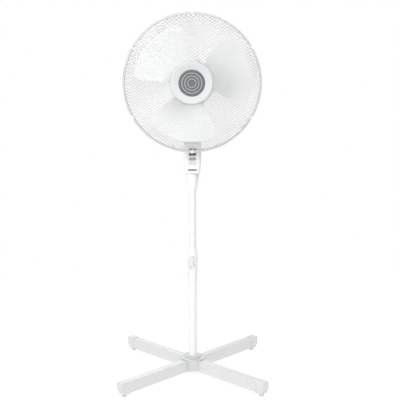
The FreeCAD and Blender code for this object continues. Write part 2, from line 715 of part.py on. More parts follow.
def guard_nut():
    ring = head_turned([("20.3", "-38"), ("27", "-38"), ("28.5", "-36.5"), ("28.5", "-31.7"), ("20.3", "-31.7")])
    grips = []
    for i in range(6):
        lug = box("27", "32", "-37", "-31.7", "-3", "3")
        turn = FreeCAD.Rotation(V(0, 1, 0), 60 * i)
        lug.Placement = FreeCAD.Placement(V(0, 0, size("head_level")), turn).multiply(lug.Placement)
        grips.append(lug)
    node(fuse(ring, *grips), "guard_nut")


# ---------------------------------------------------------------- guards


class Dish:
    """A guard's bowl: a shallow ball that a rolled corner turns down to the rim. Heights rise from the rim."""

    def __init__(self, depth, inset):
        corner = size("dish_corner")
        self.middle = size("wire_reach") - corner
        lean = 2 * math.atan((depth - corner) / self.middle)
        ball = self.middle / math.sin(lean) + corner
        self.ball_height = depth - ball
        self.ball = ball - inset
        self.corner = corner - inset
        self.join = self.ball * math.sin(lean)

    def point(self, along, offset):
        """Point and direction, in its own plane, of the section that passes the axis at an offset."""
        radius = math.hypot(along, offset)
        if radius < self.join:
            rise = math.sqrt(self.ball ** 2 - radius ** 2)
            return V(along, self.ball_height + rise, 0), V(rise, -along, 0).normalize()
        out = radius - self.middle
        rise = math.sqrt(max(self.corner ** 2 - out ** 2, 0))
        return V(along, rise, 0), V(rise * radius, -out * along, 0).normalize()

    def stations(self, offset, spans=2):
        """Where that section's arcs meet on the corner, out to the rim."""
        start = max(self.join, offset) - self.middle
        first = math.acos(min(start / self.corner, 1))
        radii = [self.middle + self.corner * math.cos(first * (1 - i / spans)) for i in range(spans + 1)]
        return [math.sqrt(max(radius ** 2 - offset ** 2, 0)) for radius in radii]


def arc_from(start, direction, end):
    """The arc that leaves a point in a direction and ends at another."""
    chord = end - start
    aside = chord.cross(V(0, 0, 1)).normalize()
    bulge = chord.Length / 2 * math.tan(direction.getAngle(chord) / 2)
    if direction.dot(aside) < 0:
        bulge = -bulge
    return Part.Arc(start, (start + end) / 2 + aside * bulge, end).toShape()


def two_arcs(start, start_direction, end, end_direction):
    """Two arcs in one plane that join two points smoothly."""
    chord = end - start
    bend = 2 * (1 - start_direction.dot(end_direction))
    both = chord.dot(start_direction + end_direction)
    length = (math.sqrt(both ** 2 + bend * chord.dot(chord)) - both) / bend
    meeting = (start + end + (start_direction - end_direction) * length) / 2
    last = arc_from(end, -end_direction, meeting)
    last.reverse()
    return [arc_from(start, start_direction, meeting), last]


def wire_section(middle, direction):
    """The face that a wire is swept from: six-sided, near enough round for so thin a wire."""
    aside = direction.cross(V(0, 0, 1)).normalize() * size("wire_radius")
    corners = [FreeCAD.Rotation(direction, 60 * i).multVec(aside) + middle for i in range(7)]
    return Part.Face(Part.makePolygon(corners))


def mesh_wire(dish, offset):
    """One wire of the mesh: rim to rim, or from the hub ring to the rim if it would cross the middle."""
    stations = dish.stations(offset)
    hub = size("wire_start")
    whole = offset > hub
    edges = []
    if offset < dish.join:
        first = -stations[0] if whole else math.sqrt(hub ** 2 - offset ** 2)
        middle = (first + stations[0]) / 2
        ball_points = [dish.point(along, offset)[0] for along in (first, middle, stations[0])]
        edges.append(Part.Arc(*ball_points).toShape())
    runs = list(zip(stations, stations[1:]))
    if whole:
        back = [-along for along in reversed(stations)]
        runs = list(zip(back, back[1:])) + runs
    for near, far in runs:
        edges += two_arcs(*dish.point(near, offset), *dish.point(far, offset))
    spine = Part.Wire(Part.__sortEdges__(edges))
    section = wire_section(*dish.point(stations[-1], offset))
    return spine.makePipe(section).translate(V(0, 0, offset))


def mesh_layer(dish, slope):
    """All wires of one guard that run one way; the other half is the same half turned round the axis."""
    pitch = size("mesh_pitch")
    offsets = [pitch * (i + 0.5) for i in range(int(size("wire_reach") / pitch))]
    half = [mesh_wire(dish, offset) for offset in offsets]
    for offset in offsets:
        if offset < size("wire_start"):
            wire = mesh_wire(dish, offset)
            half.append(wire.mirror(V(), V(0, 0, 1)))
    return [wire.copy().rotate(V(), V(0, 1, 0), turn - slope) for wire in half for turn in (0, 180)]


def guard_wires(edge, depth, side):
    """Two crossing layers of wires, the second just inside the first."""
    slope, tilt = size("mesh_slope"), size("mesh_tilt")
    outer, inner = Dish(depth, 0), Dish(depth, size("2 * wire_radius + 0.1"))
    wires = mesh_layer(outer, tilt + slope) + mesh_layer(inner, tilt - slope)
    if side < 0:
        wires = [wire.mirror(V(), V(0, 1, 0)) for wire in wires]
    return [wire.translate(V(0, -edge, 0)) for wire in wires]


def hub_ring(edge, depth):
    """Ring under the inner ends of the front guard's wires."""
    radius, ring = 63, size("ring_radius")
    inner = Dish(depth, size("2 * wire_radius + 0.1"))
    level = inner.point(radius, 0)[0].y - size("wire_radius + ring_radius + 0.1")
    return Part.makeTorus(radius, ring, V(0, -edge - level, 0), V(0, 1, 0))


def hub_plate():
    """Dished plate under the inner ends of the rear guard's wires, clamped by the guard nut."""
    outline = [(20.3, -31.6), (54, -31.6), (57, -33.3), (64.6, -33.3), (64.6, -32.2), (57.6, -32.2),
               (54.6, -30.5), (20.3, -30.5), (20.3, -31.6)]
    face = Part.Face(Part.makePolygon([V(radius, level, 0) for radius, level in outline]))
    return face.revolve(V(), V(0, 1, 0), 360)


def guards():
    front = (size("front_edge"), size("front_depth"))
    rear = (size("rear_edge"), size("rear_depth"))
    rim_ring = size("wire_reach + wire_radius + ring_radius + 0.04")
    for name, guard, side, hub in (("front", front, -1, hub_ring(*front)), ("rear", rear, 1, hub_plate())):
        wires = Part.makeCompound(guard_wires(*guard, side))
        node(solid_node(f"{name}_guard_wires", wires, z="head_level"), f"{name}_guard_wires")
        rings = [hub, Part.makeTorus(rim_ring, size("ring_radius"), V(0, -guard[0], 0), V(0, 1, 0))]
        node(solid_node(f"{name}_guard_rings", Part.makeCompound(rings), z="head_level"), f"{name}_guard_rings")


def guard_rim():
    """Plastic band that closes over both guards' outer rings."""
    outer, lip, wall = "rim_radius", "rim_inner", "rim_radius - 2.4"
    front, back = "-rim_front", "-rim_back"
    band = head_turned([(lip, front), (f"{outer} - 1", front), (outer, f"{front} + 1"), (outer, f"{back} - 1"),
                        (f"{outer} - 1", back), (lip, back), (lip, f"{back} - 1.7"), (wall, f"{back} - 1.7"),
                        (wall, f"{front} + 1.7"), (lip, f"{front} + 1.7")])
    hole = cylinder("1.7", "12", y="-85.1", z="head_level - rim_radius - 4")
    node(cut(band, hole), "guard_rim")


def rim_clip(turn):
    """A snap clip over the rim; the first one, at the bottom, takes the lock screw."""
    outer = box("-4.5", "4.5", "-rim_front - 1.8", "-rim_back + 1.8", "rim_inner + 0.25", "rim_radius + 2")
    inner = box("-5", "5", "-rim_front - 0.2", "-rim_back + 0.2", "rim_inner - 9", "rim_radius + 0.3")
    clip = cut(outer, inner)
    if turn == 180:
        clip = cut(clip, cylinder("1.7", "12", y="-85.1", z="rim_radius - 4"))
    rotation = FreeCAD.Rotation(V(0, 1, 0), turn)
    clip.Placement = FreeCAD.Placement(V(0, 0, size("head_level")), rotation)
    return clip


def rim_hardware():
    node(group(*[rim_clip(60 * i) for i in range(6)]), "rim_clips")
    head = cylinder("3.3", "1.6", y="-85.1", z="head_level - rim_radius - 3.7")
    shank = cylinder("1.5", "8", y="-85.1", z="head_level - rim_radius - 2.2")
    node(fuse(head, shank), "rim_lock_screw")


def guard_cap():
    """Dished round cap over the middle of the front guard, and its plain badge."""
    radius, badge = "cap_radius", "badge_radius + 0.3"
    node(head_turned([("0", "-146.4"), (f"{radius} - 1", "-146.4"), (radius, "-147.2"), (radius, "-148.6"),
                      (f"{radius} - 1.6", "-151.4"), (f"{radius} - 4.5", "-153"), (f"{radius} - 7.5", "-152.8"),
                      (badge, "-149.8"), (badge, "-148.4"), ("0", "-148.4")]), "guard_cap")
    node(head_turned([("0", "-148.45"), ("badge_radius", "-148.45"), ("badge_radius", "-149.8"),
                      ("badge_radius - 0.8", "-150.6"), ("0", "-150.6")]), "guard_badge")


# ---------------------------------------------------------------- blades


def blade_level(radius, share):
    """Level of the blade's front skin, from its trailing edge (0) to its leading edge (1)."""
    out = (radius - 36) / 152
    trailing = -103 - 9 * out
    leading = -64 - 6 * out
    return trailing + (leading - trailing) * (share + 0.09 * math.sin(math.pi * share))


def on_disc(radius, clockwise, level):
    """A point from its radius and its clockwise angle, in degrees from the top, seen from the front."""
    angle = math.radians(clockwise)
    return V(radius * math.sin(angle), level, radius * math.cos(angle))


def blade_skin():
    """The twisted, cambered blade surface, larger than the blade all round."""
    start = size("blade_centre_angle") - size("blade_spread") / 2 - 6
    spread = size("blade_spread") + 12
    rows = []
    for i in range(7):
        radius = 33 + i * (size("blade_radius") + 6 - 33) / 6
        rows.append([on_disc(radius, start + spread * j / 8, blade_level(radius, j / 8)) for j in range(9)])
    surface = Part.BSplineSurface()
    surface.interpolate(rows)
    return surface.toShape()


def blade_prism():
    """The blade's outline seen from the front, as a prism through the whole depth of the head."""
    level = -140
    first = size("blade_centre_angle") - size("blade_spread") / 2
    last = first + size("blade_spread")
    tip = size("blade_radius")
    a, b = on_disc(34, first - 2, level), on_disc(tip * 0.80, first, level)
    c, d = on_disc(tip, first + 11, level), on_disc(tip, last - 13, level)
    e, f = on_disc(tip * 0.78, last, level), on_disc(34, last + 2, level)
    corner_one = on_disc(tip * 0.955, first + 2.6, level)
    corner_two = on_disc(tip * 0.945, last - 3.2, level)
    edges = [Part.makeLine(a, b), Part.Arc(b, corner_one, c).toShape(),
             Part.Arc(c, on_disc(tip, (first + last) / 2, level), d).toShape(),
             Part.Arc(d, corner_two, e).toShape(), Part.makeLine(e, f), Part.makeLine(f, a)]
    return Part.Face(Part.Wire(edges)).extrude(V(0, 110, 0))


def fan_blades():
    """Hub and three wide blades moulded in one piece, and the nut that holds them."""
    blade = blade_skin().extrude(V(0, size("blade_thickness"), 0)).common(blade_prism())
    hub_radius, bore = size("hub_radius"), size("shaft_radius")
    corners = [(bore, -107), (hub_radius - 7, -107), (hub_radius - 2.5, -105), (hub_radius - 0.5, -100),
               (hub_radius + 1, -60), (hub_radius - 1.6, -60), (hub_radius - 3, -99), (hub_radius - 7, -104),
               (9, -104), (9, -68), (bore, -68)]
    section = Part.makePolygon([V(r, y, 0) for r, y in corners + corners[:1]])
    hub = Part.Face(section).revolve(V(), V(0, 1, 0), 360)
    count = int(size("blade_count"))
    blades = [blade.copy().rotate(V(), V(0, 1, 0), 360 * i / count) for i in range(count)]
    inside = Part.makeCylinder(hub_radius - 3.2, 120, V(0, -104, 0), V(0, 1, 0))
    trimmed = [one.cut(inside) for one in blades]
    shape = hub.fuse(trimmed).removeSplitter()
    node(solid_node("fan_blades", shape, z="head_level"), "fan_blades")
    node(head_turned([("shaft_radius", "-107.2"), ("15", "-107.2"), ("16.5", "-109"), ("15.5", "-116"),
                      ("11", "-121"), ("0", "-122.5"), ("0", "-117.5"), ("shaft_radius", "-117.5")]), "blade_nut")


# ---------------------------------------------------------------- assembly


def build():
    fill_sheet()
    cross_bar("leg_bar_lower", "base_angle", ("lap_level", "bar_top + 1"))
    cross_bar("leg_bar_upper", "base_angle + 90", ("bar_bottom - 1", "lap_level + 0.3"))
    corners = {"back_right": "base_angle", "back_left": "base_angle + 90",
               "front_left": "base_angle + 180", "front_right": "base_angle + 270"}
    for corner, turn in corners.items():
        end_cap("end_cap_" + corner, turn)
    foot_pads(corners.values())
    base_hub()
    hub_bolt()
    pole_parts()
    height_collar()
    height_knob()
    upper_pole()
    control_housing()
    housing_contents()
    buttons()
    neck_yoke()
    tilt_hardware()
    tilt_pivot()
    clutch_parts()
    crank_gear()
    link_arm()
    gearbox_case()
    motor_parts()
    motor_cover()
    motor_cowl()
    guard_nut()
    guards()
    guard_rim()
    rim_hardware()
    guard_cap()
    fan_blades()


def check_and_write():
    """Stop on anything failed, then write one file for each piece."""
    DOC.recompute()
    failed = [o.Name + " " + o.Label for o in DOC.Objects if "Invalid" in o.State or "Error" in o.State]
    for piece in NODES:
        if piece.Shape.isNull() or not piece.Shape.isValid() or not piece.Shape.Solids:
            failed.append("bad shape " + piece.Label)
    if failed:
        raise RuntimeError("; ".join(failed))
    os.makedirs("parts", exist_ok=True)
    for piece in NODES:
        piece.Shape.exportStep(f"parts/{piece.Label}.step")
    print(len(NODES), "nodes written")


build()
check_and_write()
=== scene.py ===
"""Pedestal fan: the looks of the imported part.

Metres, in the part's own frame: the fan faces -Y, and +Z is up.
"""

import json
import math

import bpy
from mathutils import Matrix, Vector


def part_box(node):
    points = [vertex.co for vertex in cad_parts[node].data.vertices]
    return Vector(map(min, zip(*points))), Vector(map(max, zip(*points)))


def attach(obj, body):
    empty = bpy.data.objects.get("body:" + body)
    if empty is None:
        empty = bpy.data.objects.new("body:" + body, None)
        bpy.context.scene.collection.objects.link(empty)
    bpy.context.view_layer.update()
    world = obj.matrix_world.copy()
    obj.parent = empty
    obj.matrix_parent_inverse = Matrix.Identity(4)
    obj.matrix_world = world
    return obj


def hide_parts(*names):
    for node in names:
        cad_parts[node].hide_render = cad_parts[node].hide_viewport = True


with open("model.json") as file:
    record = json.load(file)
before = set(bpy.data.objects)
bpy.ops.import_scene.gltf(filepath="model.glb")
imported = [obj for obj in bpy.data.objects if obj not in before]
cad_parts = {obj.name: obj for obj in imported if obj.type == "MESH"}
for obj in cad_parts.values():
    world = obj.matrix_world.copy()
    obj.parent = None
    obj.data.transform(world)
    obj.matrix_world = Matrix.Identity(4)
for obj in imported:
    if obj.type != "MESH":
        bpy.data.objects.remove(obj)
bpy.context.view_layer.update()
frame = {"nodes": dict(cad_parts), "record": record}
CAD_NODES = frame["nodes"]

RIM_LOW, RIM_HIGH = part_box("guard_rim")
HEAD_LEVEL = (RIM_LOW.z + RIM_HIGH.z) / 2

# The guards' wires lie in two layers, each sloped its own way, and the whole mesh is tilted a little.
WIRE_RADIUS = 0.00065
WIRE_SIDES = 8
WIRE_REACH = 0.2146
WIRE_START = 0.0605
MESH_PITCH = 0.0081
MESH_SLOPE = math.radians(32.3)
MESH_TILT = math.radians(3.2)
LAYER_GAP = 2 * WIRE_RADIUS + 0.0001

# Each guard is a shallow dish with a rolled corner at the rim.
DISH_CORNER = 0.036
DISH_BALL_STEPS = 7
DISH_CORNER_STEPS = 6
GUARD_DEPTHS = {"front": 0.0594, "rear": 0.0541}

# The badge's turned rings: inner radii as shares of the badge's, and their section.
RING_SHARES = (0.3, 0.52, 0.74)
RING_WIDTH = 0.0011
RING_SUNK = 0.00005
RING_PROUD = 0.0003
RING_CROWN = 0.4
RING_STEPS = 160

# The plain bar under the buttons; its rise is from the housing's foot to the bar's middle.
MARK_WIDTH = 0.03
MARK_HEIGHT = 0.0055
MARK_RISE = 0.0135
MARK_SUNK = 0.0001
MARK_PROUD = 0.00025
MARK_EDGE_INSET = 0.00015
MARK_EDGE_DROP = 0.0001
CORNER_STEPS = 6

# Edges are rounded this much in the normals. Wear grows from none at the first cosine of the normal's
# turn to full at the second.
EDGE_RADIUS = 0.0007
MACHINED_EDGE_RADIUS = 0.0004
RUBBER_EDGE_RADIUS = 0.0008
EDGE_FLAT, EDGE_TURNED = 0.995, 0.9

FLOOR_HALF = 1.2


# ---------------------------------------------------------------- materials


def mapped_range(tree, value, low, high, to_low, to_high):
    """Value from low..high taken to to_low..to_high, and kept there."""
    node = tree.nodes.new("ShaderNodeMapRange")
    numbers = {"From Min": low, "From Max": high, "To Min": to_low, "To Max": to_high}
    for socket, number in numbers.items():
        node.inputs[socket].default_value = number
    tree.links.new(value, node.inputs["Value"])
    return node.outputs["Result"]


class Paint:
    """A Principled material made in steps; each step adds nodes to the one before it."""

    def __init__(self, name, roughness, metallic=0.0, **sockets):
        self.material = bpy.data.materials.new(name)
        self.material.use_nodes = True
        self.tree = self.material.node_tree
        self.tree.nodes.clear()
        output = self.tree.nodes.new("ShaderNodeOutputMaterial")
        self.shader = self.tree.nodes.new("ShaderNodeBsdfPrincipled")
        self.link(self.shader.outputs["BSDF"], output.inputs["Surface"])
        self.shader.inputs["Roughness"].default_value = roughness
        self.shader.inputs["Metallic"].default_value = metallic
        for socket, value in sockets.items():
            self.shader.inputs[socket.replace("_", " ")].default_value = value
        self.place = self.tree.nodes.new("ShaderNodeTexCoord").outputs["Object"]
        self.roughness = roughness

    def link(self, source, target):
        self.tree.links.new(source, target)

    def noise(self, scale, detail=3.0, stretch=(1, 1, 1)):
        """Noise over the piece; a stretch below 1 draws it out along that axis."""
        mapping = self.tree.nodes.new("ShaderNodeMapping")
        mapping.inputs["Scale"].default_value = stretch
        self.link(self.place, mapping.inputs["Vector"])
        noise = self.tree.nodes.new("ShaderNodeTexNoise")
        noise.inputs["Scale"].default_value = scale
        noise.inputs["Detail"].default_value = detail
        self.link(mapping.outputs["Vector"], noise.inputs["Vector"])
        return noise.outputs["Fac"]

    def wave(self, kind, scale, distortion):
        """Bands across Y, or rings round it."""
        wave = self.tree.nodes.new("ShaderNodeTexWave")
        wave.wave_type = kind
        wave.bands_direction = "Y"
        wave.rings_direction = "Y"
        wave.inputs["Scale"].default_value = scale
        wave.inputs["Distortion"].default_value = distortion
        self.link(self.place, wave.inputs["Vector"])
        return wave.outputs["Fac"]

    def between(self, value, low, high, to_low=0.0, to_high=1.0):
        return mapped_range(self.tree, value, low, high, to_low, to_high)

    def mix(self, share, first, second):
        """Colour between two colours, each a tuple or an output."""
        node = self.tree.nodes.new("ShaderNodeMix")
        node.data_type = "RGBA"
        self.link(share, node.inputs["Factor"])
        for socket, colour in ((node.inputs[6], first), (node.inputs[7], second)):
            if isinstance(colour, tuple):
                socket.default_value = (*colour, 1)
            else:
                self.link(colour, socket)
        return node.outputs[2]

    def times(self, first, second):
        """Product of two values."""
        node = self.tree.nodes.new("ShaderNodeMath")
        node.operation = "MULTIPLY"
        self.link(first, node.inputs[0])
        self.link(second, node.inputs[1])
        return node.outputs["Value"]

    def soft_edges(self, radius):
        """Normal rounded over the edges, and a mask that is 1 on them."""
        bevel = self.tree.nodes.new("ShaderNodeBevel")
        bevel.samples = 4
        bevel.inputs["Radius"].default_value = radius
        geometry = self.tree.nodes.new("ShaderNodeNewGeometry")
        dot = self.tree.nodes.new("ShaderNodeVectorMath")
        dot.operation = "DOT_PRODUCT"
        self.link(bevel.outputs["Normal"], dot.inputs[0])
        self.link(geometry.outputs["Normal"], dot.inputs[1])
        return bevel.outputs["Normal"], self.between(dot.outputs["Value"], EDGE_FLAT, EDGE_TURNED)

    def bump(self, height, distance, normal=None):
        """Normal roughened by a height, on top of another normal if there is one."""
        node = self.tree.nodes.new("ShaderNodeBump")
        node.inputs["Distance"].default_value = distance
        self.link(height, node.inputs["Height"])
        if normal is not None:
            self.link(normal, node.inputs["Normal"])
        return node.outputs["Normal"]

    def colour(self, value):
        self.link(value, self.shader.inputs["Base Color"])

    def vary_roughness(self, value, amount):
        self.link(self.between(value, 0.3, 0.7, self.roughness - amount, self.roughness + amount),
                  self.shader.inputs["Roughness"])

    def normal(self, value):
        self.link(value, self.shader.inputs["Normal"])


def shaded(colour, share):
    """The colour darkened by a share below 1, or lightened by one above it, up to white."""
    return tuple(min(1.0, channel * share) for channel in colour)


def moulded(name, colour, roughness, grain=1800, grain_depth=0.000015, wear=0.9, **sockets):
    """Moulded plastic or sprayed paint: faint cloudiness, fine grain, rubbed and slightly dirty edges."""
    paint = Paint(name, roughness, **sockets)
    cloudy = paint.between(paint.noise(7, 4), 0.35, 0.65)
    scuffs = paint.between(paint.noise(90, 8), 0.46, 0.66)
    rounded, edges = paint.soft_edges(EDGE_RADIUS)
    body = paint.mix(cloudy, shaded(colour, 0.975), colour)
    paint.colour(paint.mix(paint.times(edges, scuffs), body, shaded(colour, wear)))
    paint.vary_roughness(paint.noise(35, 5), 0.06)
    paint.normal(paint.bump(paint.noise(grain, 2), grain_depth, rounded))
    return paint.material


def metal(name, colour, roughness, stretch=(1, 1, 1), scale=400, depth=0.00001):
    """Machined, drawn or cast metal, with its grain drawn out along one axis if stretch says so."""
    paint = Paint(name, roughness, metallic=1.0)
    grain = paint.noise(scale, 5, stretch)
    stains = paint.between(paint.noise(25, 6), 0.45, 0.7)
    rounded, edges = paint.soft_edges(MACHINED_EDGE_RADIUS)
    body = paint.mix(paint.between(grain, 0.3, 0.7), shaded(colour, 0.82), colour)
    dull = paint.mix(stains, body, shaded(colour, 0.7))
    paint.colour(paint.mix(edges, dull, shaded(colour, 1.25)))
    paint.vary_roughness(grain, 0.08)
    paint.normal(paint.bump(grain, depth, rounded))
    return paint.material


def sheet_stack(name, colour):
    """Edges of thin steel sheets stacked along the motor's axis."""
    paint = Paint(name, 0.5, metallic=0.9)
    sheets = paint.wave("BANDS", 310, 0.4)
    rust = paint.between(paint.noise(60, 6), 0.5, 0.7)
    body = paint.mix(sheets, shaded(colour, 0.6), colour)
    paint.colour(paint.mix(rust, body, (0.23, 0.16, 0.12)))
    paint.vary_roughness(paint.noise(200), 0.1)
    paint.normal(paint.bump(sheets, 0.00012))
    return paint.material


def windings(name, colour):
    """Enamelled copper wire, wound side by side round each coil."""
    paint = Paint(name, 0.28, metallic=0.85)
    strands = paint.wave("RINGS", 420, 1.2)
    body = paint.mix(strands, shaded(colour, 0.45), colour)
    paint.colour(paint.mix(paint.between(paint.noise(50, 5), 0.5, 0.75), body, (0.35, 0.13, 0.05)))
    paint.vary_roughness(paint.noise(150), 0.08)
    paint.normal(paint.bump(strands, 0.0002))
    return paint.material


def coated_wire(name, colour):
    """Powder-coated wire: slightly lumpy, with no edges to wear."""
    paint = Paint(name, 0.38, Coat_Weight=0.15, Coat_Roughness=0.25)
    lumps = paint.noise(700, 4)
    paint.colour(paint.mix(paint.between(paint.noise(14, 4), 0.35, 0.65), shaded(colour, 0.96), colour))
    paint.vary_roughness(lumps, 0.07)
    paint.normal(paint.bump(lumps, 0.00002))
    return paint.material


def rubber(name, colour):
    """Matt rubber with a coarse grain and dust on it."""
    paint = Paint(name, 0.75, Specular_IOR_Level=0.3)
    dust = paint.between(paint.noise(140, 8), 0.45, 0.7)
    rounded, edges = paint.soft_edges(RUBBER_EDGE_RADIUS)
    body = paint.mix(dust, colour, shaded(colour, 1.25))
    paint.colour(paint.mix(edges, body, shaded(colour, 1.4)))
    paint.vary_roughness(dust, 0.08)
    paint.normal(paint.bump(paint.noise(900, 4), 0.00005, rounded))
    return paint.material


# One material for each slot of the record.
FINISHES = {
    "white_paint": moulded("white_paint", (0.76, 0.765, 0.765), 0.3, grain=900, grain_depth=0.00002,
                           Coat_Weight=0.3, Coat_Roughness=0.15),
    "white_plastic": moulded("white_plastic", (0.8, 0.805, 0.805), 0.38),
    "blade_plastic": moulded("blade_plastic", (0.805, 0.81, 0.815), 0.42, grain=2500, grain_depth=0.000006),
    "wire_white": coated_wire("wire_white", (0.71, 0.715, 0.715)),
    "collar_grey": moulded("collar_grey", (0.64, 0.65, 0.655), 0.42),
    "badge_grey": moulded("badge_grey", (0.125, 0.131, 0.136), 0.4, grain=1200, wear=1.15),
    "key_dark": moulded("key_dark", (0.13, 0.135, 0.14), 0.35, wear=1.5),
    "key_grey": moulded("key_grey", (0.33, 0.34, 0.345), 0.38, wear=1.2),
    "key_light": moulded("key_light", (0.72, 0.725, 0.725), 0.4),
    "foot_rubber": rubber("foot_rubber", (0.6, 0.6, 0.59)),
    "steel": metal("steel", (0.56, 0.56, 0.57), 0.32, stretch=(1, 0.05, 1)),
    "die_cast": metal("die_cast", (0.5, 0.51, 0.53), 0.55, scale=900, depth=0.00008),
    "laminations": sheet_stack("laminations", (0.42, 0.43, 0.46)),
    "copper": windings("copper", (0.78, 0.36, 0.16)),
    "bush_bronze": metal("bush_bronze", (0.62, 0.42, 0.2), 0.42, scale=1500, depth=0.00004),
    "black_plastic": moulded("black_plastic", (0.035, 0.036, 0.038), 0.45, wear=2.0),
    "gear_nylon": moulded("gear_nylon", (0.66, 0.62, 0.5), 0.45, Subsurface_Weight=0.1),
}


def finish_cad_nodes():
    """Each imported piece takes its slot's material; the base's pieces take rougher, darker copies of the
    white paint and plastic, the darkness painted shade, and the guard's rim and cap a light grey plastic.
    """
    slots = {part["node"]: part["material_slot"] for part in frame["record"]["subparts"]}
    # Painted shade: the leg bars, end caps and hub are darker copies of the white finishes, and the hub is
    # the darkest of them.
    base_shaded_colour = (0.64, 0.645, 0.645)
    base_shaded_paint = moulded("base_shaded_paint", base_shaded_colour, 0.4, grain=900, grain_depth=0.00002)
    base_shaded_plastic = moulded("base_shaded_plastic", base_shaded_colour, 0.42)
    hub_shaded_plastic = moulded("hub_shaded_plastic", (0.56, 0.565, 0.565), 0.42)
    guard_plastic = moulded("guard_plastic", (0.57, 0.575, 0.58), 0.42)
    darker_finishes = {
        "leg_bar": base_shaded_paint,
        "end_cap": base_shaded_plastic,
        "base_hub": hub_shaded_plastic,
        "guard_cap": guard_plastic,
        "guard_rim": guard_plastic,
    }
    for name, piece in CAD_NODES.items():
        own = [finish for start, finish in darker_finishes.items() if name.startswith(start)]
        finish = own[0] if own else FINISHES[slots[name]]
        for slot in piece.material_slots:
            slot.material = finish


# ---------------------------------------------------------------- mesh helpers


def mesh_piece(name, points, faces, body, slot, replaces=()):
    """A smooth-shaded mesh that rides on a body, in the finish of a slot."""
    mesh = bpy.data.meshes.new(name)
    mesh.from_pydata([tuple(point) for point in points], [], faces)
    mesh.update()
    mesh.polygons.foreach_set("use_smooth", [True] * len(mesh.polygons))
    mesh.materials.append(FINISHES[slot])
    piece = bpy.data.objects.new(name, mesh)
    bpy.context.scene.collection.objects.link(piece)
    if replaces:
        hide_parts(*replaces)
    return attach(piece, body)


def add_tube(points, faces, path, normal, radius, sides):
    """A closed round tube along a flat path whose plane has that normal."""
    base = len(points)
    last = len(path) - 1
    for i, middle in enumerate(path):
        before, after = path[max(i - 1, 0)], path[min(i + 1, last)]
        aside = (after - before).cross(normal).normalized()
        for k in range(sides):
            angle = 2 * math.pi * k / sides
            points.append(middle + aside * (radius * math.cos(angle)) + normal * (radius * math.sin(angle)))
    for i in range(last):
        near, far = base + i * sides, base + (i + 1) * sides
        for k in range(sides):
            after = (k + 1) % sides
            faces.append((near + k, near + after, far + after, far + k))
    faces.append(tuple(base + k for k in reversed(range(sides))))
    faces.append(tuple(base + last * sides + k for k in range(sides)))


# ---------------------------------------------------------------- guards


class Dish:
    """A guard's bowl: a shallow ball that a rolled corner turns down to the rim.

    Heights rise from the rim. The inset puts a layer of wires inside the outer one.
    """

    def __init__(self, depth, inset):
        self.middle = WIRE_REACH - DISH_CORNER
        lean = 2 * math.atan((depth - DISH_CORNER) / self.middle)
        ball = self.middle / math.sin(lean) + DISH_CORNER
        self.ball_height = depth - ball
        self.ball = ball - inset
        self.corner = DISH_CORNER - inset
        self.join = self.ball * math.sin(lean)

    def height(self, radius):
        if radius < self.join:
            return self.ball_height + math.sqrt(self.ball ** 2 - radius ** 2)
        return math.sqrt(max(self.corner ** 2 - (radius - self.middle) ** 2, 0))

    def radii(self, offset):
        """Radii of one wire's points, from its nearest to the axis out to the rim."""
        nearest = max(offset, WIRE_START)
        radii = []
        if nearest < self.join:
            first = math.sqrt(max(nearest ** 2 - offset ** 2, 0))
            last = math.sqrt(self.join ** 2 - offset ** 2)
            steps = [first + (last - first) * i / DISH_BALL_STEPS for i in range(DISH_BALL_STEPS)]
            radii = [math.hypot(along, offset) for along in steps]
        turn = math.acos(min((max(self.join, nearest) - self.middle) / self.corner, 1))
        turns = [turn * (1 - i / DISH_CORNER_STEPS) for i in range(DISH_CORNER_STEPS + 1)]
        return radii + [self.middle + self.corner * math.cos(angle) for angle in turns]

    def wires(self):
        """Every wire that runs along X: its points as (along, offset, height)."""
        count = int(WIRE_REACH / MESH_PITCH)
        for i in range(-count, count):
            offset = (i + 0.5) * MESH_PITCH
            radii = self.radii(abs(offset))
            half = [(math.sqrt(max(r * r - offset * offset, 0)), offset, self.height(r)) for r in radii]
            other = [(-along, offset, height) for along, offset, height in reversed(half)]
            if abs(offset) < WIRE_START:
                yield half
                yield other
            else:
                yield other + half[1:]


def guard_mesh(name, edge, side):
    """The two crossing layers of one guard's wires, from its edge towards one side along Y."""
    points, faces = [], []
    for inset, slope in ((0, MESH_TILT + MESH_SLOPE), (LAYER_GAP, MESH_TILT - MESH_SLOPE)):
        dish = Dish(GUARD_DEPTHS[name], inset)
        turn = Matrix.Rotation(-slope, 3, "Y")
        normal = turn @ Vector((0, 0, 1))
        for wire in dish.wires():
            path = [turn @ Vector((along, side * height, offset)) for along, offset, height in wire]
            path = [point + Vector((0, edge, HEAD_LEVEL)) for point in path]
            add_tube(points, faces, path, normal, WIRE_RADIUS, WIRE_SIDES)
    mesh_piece(f"{name}_guard_mesh", points, faces, "head", "wire_white", [f"{name}_guard_wires"])


def guards():
    guard_mesh("front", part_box("front_guard_wires")[1].y, -1)
    guard_mesh("rear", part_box("rear_guard_wires")[0].y, 1)


# ---------------------------------------------------------------- marks and badge


def turned_ring(name, inner, outer, back, front, body, slot):
    """A low ring with a crowned face, round the head's axis."""
    shoulder = front + RING_CROWN * (back - front)
    crown = (inner + outer) / 2
    section = [(inner, back), (inner, shoulder), (crown, front), (outer, shoulder), (outer, back)]
    points, faces = [], []
    for i in range(RING_STEPS):
        angle = 2 * math.pi * i / RING_STEPS
        for radius, level in section:
            points.append((radius * math.sin(angle), level, HEAD_LEVEL + radius * math.cos(angle)))
    count = len(section)
    for i in range(RING_STEPS):
        near, far = i * count, ((i + 1) % RING_STEPS) * count
        for k in range(count):
            after = (k + 1) % count
            faces.append((near + k, far + k, far + after, near + after))
    mesh_piece(name, points, faces, body, slot)


def badge_rings():
    """Fine turned rings on the plain badge."""
    low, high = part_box("guard_badge")
    radius = (high.x - low.x) / 2
    for i, share in enumerate(RING_SHARES):
        inner = radius * share
        turned_ring(f"badge_ring_{i + 1}", inner, inner + RING_WIDTH, low.y + RING_SUNK,
                    low.y - RING_PROUD, "head", "white_plastic")


